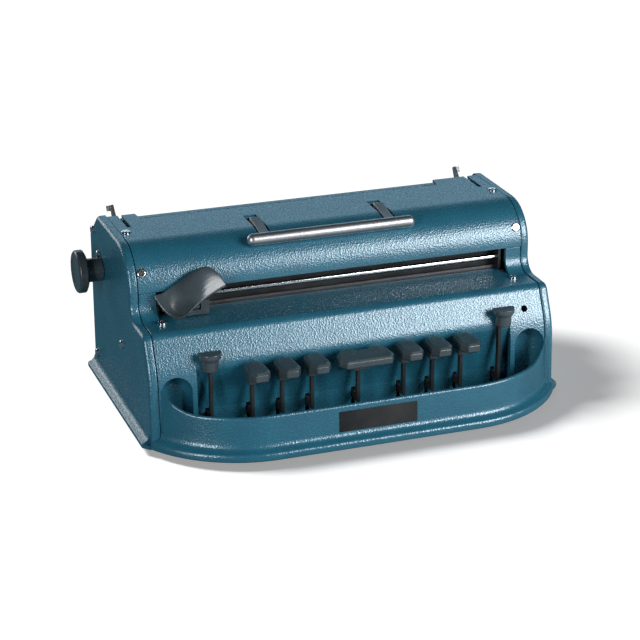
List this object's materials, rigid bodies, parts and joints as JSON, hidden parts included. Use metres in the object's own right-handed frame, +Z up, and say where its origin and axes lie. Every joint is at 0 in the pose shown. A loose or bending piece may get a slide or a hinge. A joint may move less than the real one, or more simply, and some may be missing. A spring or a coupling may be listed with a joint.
{
  "type": "manual braille writer",
  "caption": "Mechanical braille writer in a painted metal case, with a row of keys in a front trough, a carriage slot, paper feed knobs and a folding carrying handle.",
  "frame": {"origin": "on the table under the middle of the machine's overall box", "axes": "+X to the writer's right, +Y away from the keys, +Z up"},
  "size_m": [0.39, 0.232, 0.152],
  "materials": {
    "hammertone": "blue-green hammertone enamel, semi-gloss",
    "dark_plastic": "satin charcoal moulding",
    "black_steel": "black enamel",
    "label": "black anodised plate, blank",
    "rubber": "matt",
    "chrome": "polished",
    "satin_chrome": "satin chrome",
    "steel": "bright mild steel",
    "brass": "turned"
  },
  "bodies": {
    "frame": {"left_end_panel": "hammertone", "right_end_panel": "hammertone", "front_housing": "hammertone", "top_cover": "hammertone", "rear_cover": "hammertone", "base_pan": "black_steel", "label_plate": "label", "rubber_feet": "rubber", "cover_screws": "chrome", "side_screws": "chrome", "shelf_screws": "chrome", "left_frame_plate": "steel", "right_frame_plate": "steel", "carriage_rail": "chrome", "guide_strip": "chrome", "slot_back_plate": "black_steel", "escapement_rack": "steel", "key_fulcrum_shaft": "steel", "key_comb": "steel", "lever_stop_bar": "black_steel", "paper_guide": "steel", "margin_bar": "steel", "pinch_rod": "steel", "handle_pivots": "steel", "bell": "brass"},
    "carriage": {"carriage_block": "dark_plastic"},
    "carriage_lever": {"carriage_lever": "dark_plastic"},
    "feed_roller": {"feed_shaft": "steel", "rubber_sleeves": "rubber", "ratchet_wheel": "brass", "left_knob": "dark_plastic", "right_knob": "dark_plastic"},
    "left_release": {"left_release_lever": "steel"},
    "right_release": {"right_release_lever": "steel"},
    "left_pinch_arms": {"pinch_arms_left": "steel"},
    "right_pinch_arms": {"pinch_arms_right": "steel"},
    "left_pinch_roller": {"pinch_roller_left": "rubber"},
    "right_pinch_roller": {"pinch_roller_right": "rubber"},
    "handle": {"handle_grip": "satin_chrome", "handle_straps": "satin_chrome"},
    "left_stop": {"left_margin_stop": "dark_plastic"},
    "right_stop": {"right_margin_stop": "dark_plastic"},
    "line_key": {"line_key_lever": "black_steel", "line_key_cap": "dark_plastic"},
    "dot3": {"dot3_lever": "black_steel", "dot3_cap": "dark_plastic"},
    "dot2": {"dot2_lever": "black_steel", "dot2_cap": "dark_plastic"},
    "dot1": {"dot1_lever": "black_steel", "dot1_cap": "dark_plastic"},
    "space": {"space_lever": "black_steel", "space_cap": "dark_plastic"},
    "dot4": {"dot4_lever": "black_steel", "dot4_cap": "dark_plastic"},
    "dot5": {"dot5_lever": "black_steel", "dot5_cap": "dark_plastic"},
    "dot6": {"dot6_lever": "black_steel", "dot6_cap": "dark_plastic"},
    "back_key": {"back_key_lever": "black_steel", "back_key_cap": "dark_plastic"}
  },
  "joints": [
    {"name": "line_key_press", "type": "hinge", "parent": "frame", "child": "line_key", "pos_m": [-0.1227, 0.08, 0.0235], "axis": [1, 0, 0], "range_deg": [0, 3.5], "stiffness_Nm_per_rad": 1.5, "springref_deg": -5.73},
    {"name": "dot3_press", "type": "hinge", "parent": "frame", "child": "dot3", "pos_m": [-0.089, 0.08, 0.0235], "axis": [1, 0, 0], "range_deg": [0, 3.5], "stiffness_Nm_per_rad": 1.5, "springref_deg": -5.73},
    {"name": "dot2_press", "type": "hinge", "parent": "frame", "child": "dot2", "pos_m": [-0.0641, 0.08, 0.0235], "axis": [1, 0, 0], "range_deg": [0, 3.5], "stiffness_Nm_per_rad": 1.5, "springref_deg": -5.73},
    {"name": "dot1_press", "type": "hinge", "parent": "frame", "child": "dot1", "pos_m": [-0.0392, 0.08, 0.0235], "axis": [1, 0, 0], "range_deg": [0, 3.5], "stiffness_Nm_per_rad": 1.5, "springref_deg": -5.73},
    {"name": "space_press", "type": "hinge", "parent": "frame", "child": "space", "pos_m": [0, 0.08, 0.0235], "axis": [1, 0, 0], "range_deg": [0, 3.5], "stiffness_Nm_per_rad": 1.5, "springref_deg": -5.73},
    {"name": "dot4_press", "type": "hinge", "parent": "frame", "child": "dot4", "pos_m": [0.0392, 0.08, 0.0235], "axis": [1, 0, 0], "range_deg": [0, 3.5], "stiffness_Nm_per_rad": 1.5, "springref_deg": -5.73},
    {"name": "dot5_press", "type": "hinge", "parent": "frame", "child": "dot5", "pos_m": [0.0641, 0.08, 0.0235], "axis": [1, 0, 0], "range_deg": [0, 3.5], "stiffness_Nm_per_rad": 1.5, "springref_deg": -5.73},
    {"name": "dot6_press", "type": "hinge", "parent": "frame", "child": "dot6", "pos_m": [0.089, 0.08, 0.0235], "axis": [1, 0, 0], "range_deg": [0, 3.5], "stiffness_Nm_per_rad": 1.5, "springref_deg": -5.73},
    {"name": "back_key_press", "type": "hinge", "parent": "frame", "child": "back_key", "pos_m": [0.1227, 0.08, 0.0235], "axis": [1, 0, 0], "range_deg": [0, 3.5], "stiffness_Nm_per_rad": 1.5, "springref_deg": -5.73},
    {"name": "carriage_travel", "type": "slide", "parent": "frame", "child": "carriage", "axis": [1, 0, 0], "range_m": [0, 0.254]},
    {"name": "carriage_lever_press", "type": "hinge", "parent": "carriage", "child": "carriage_lever", "pos_m": [-0.128, -0.0152, 0.1035], "axis": [1, 0, 0], "range_deg": [0, 3], "stiffness_Nm_per_rad": 1, "springref_deg": -11.46},
    {"name": "feed_roller_spin", "type": "hinge", "parent": "frame", "child": "feed_roller", "pos_m": [0, 0.077, 0.107], "axis": [1, 0, 0], "continuous": true},
    {"name": "left_release_swing", "type": "hinge", "parent": "frame", "child": "left_release", "pos_m": [-0.1544, 0.077, 0.107], "axis": [1, 0, 0], "range_deg": [0, 55]},
    {"name": "right_release_swing", "type": "hinge", "parent": "frame", "child": "right_release", "pos_m": [0.1544, 0.077, 0.107], "axis": [1, 0, 0], "range_deg": [0, 55]},
    {"name": "left_pinch_lift", "type": "hinge", "parent": "frame", "child": "left_pinch_arms", "pos_m": [-0.12, 0.056, 0.1253], "axis": [1, 0, 0], "range_deg": [0, 5.5]},
    {"name": "right_pinch_lift", "type": "hinge", "parent": "frame", "child": "right_pinch_arms", "pos_m": [0.12, 0.056, 0.1253], "axis": [1, 0, 0], "range_deg": [0, 5.5]},
    {"name": "left_pinch_spin", "type": "hinge", "parent": "left_pinch_arms", "child": "left_pinch_roller", "pos_m": [-0.12, 0.077, 0.1253], "axis": [1, 0, 0], "continuous": true},
    {"name": "right_pinch_spin", "type": "hinge", "parent": "right_pinch_arms", "child": "right_pinch_roller", "pos_m": [0.12, 0.077, 0.1253], "axis": [1, 0, 0], "continuous": true},
    {"name": "handle_swing", "type": "hinge", "parent": "frame", "child": "handle", "pos_m": [0, 0.0356, 0.141], "axis": [-1, 0, 0], "range_deg": [0, 88]},
    {"name": "left_stop_slide", "type": "slide", "parent": "frame", "child": "left_stop", "axis": [1, 0, 0], "range_m": [0, 0.08]},
    {"name": "right_stop_slide", "type": "slide", "parent": "frame", "child": "right_stop", "axis": [-1, 0, 0], "range_m": [0, 0.08]}
  ],
  "couplings": [
    {"joint": "left_pinch_lift", "follows": "left_release_swing", "ratio": 0.1},
    {"joint": "right_pinch_lift", "follows": "right_release_swing", "ratio": 0.1},
    {"joint": "left_pinch_spin", "follows": "feed_roller_spin", "ratio": -2},
    {"joint": "right_pinch_spin", "follows": "feed_roller_spin", "ratio": -2}
  ]
}
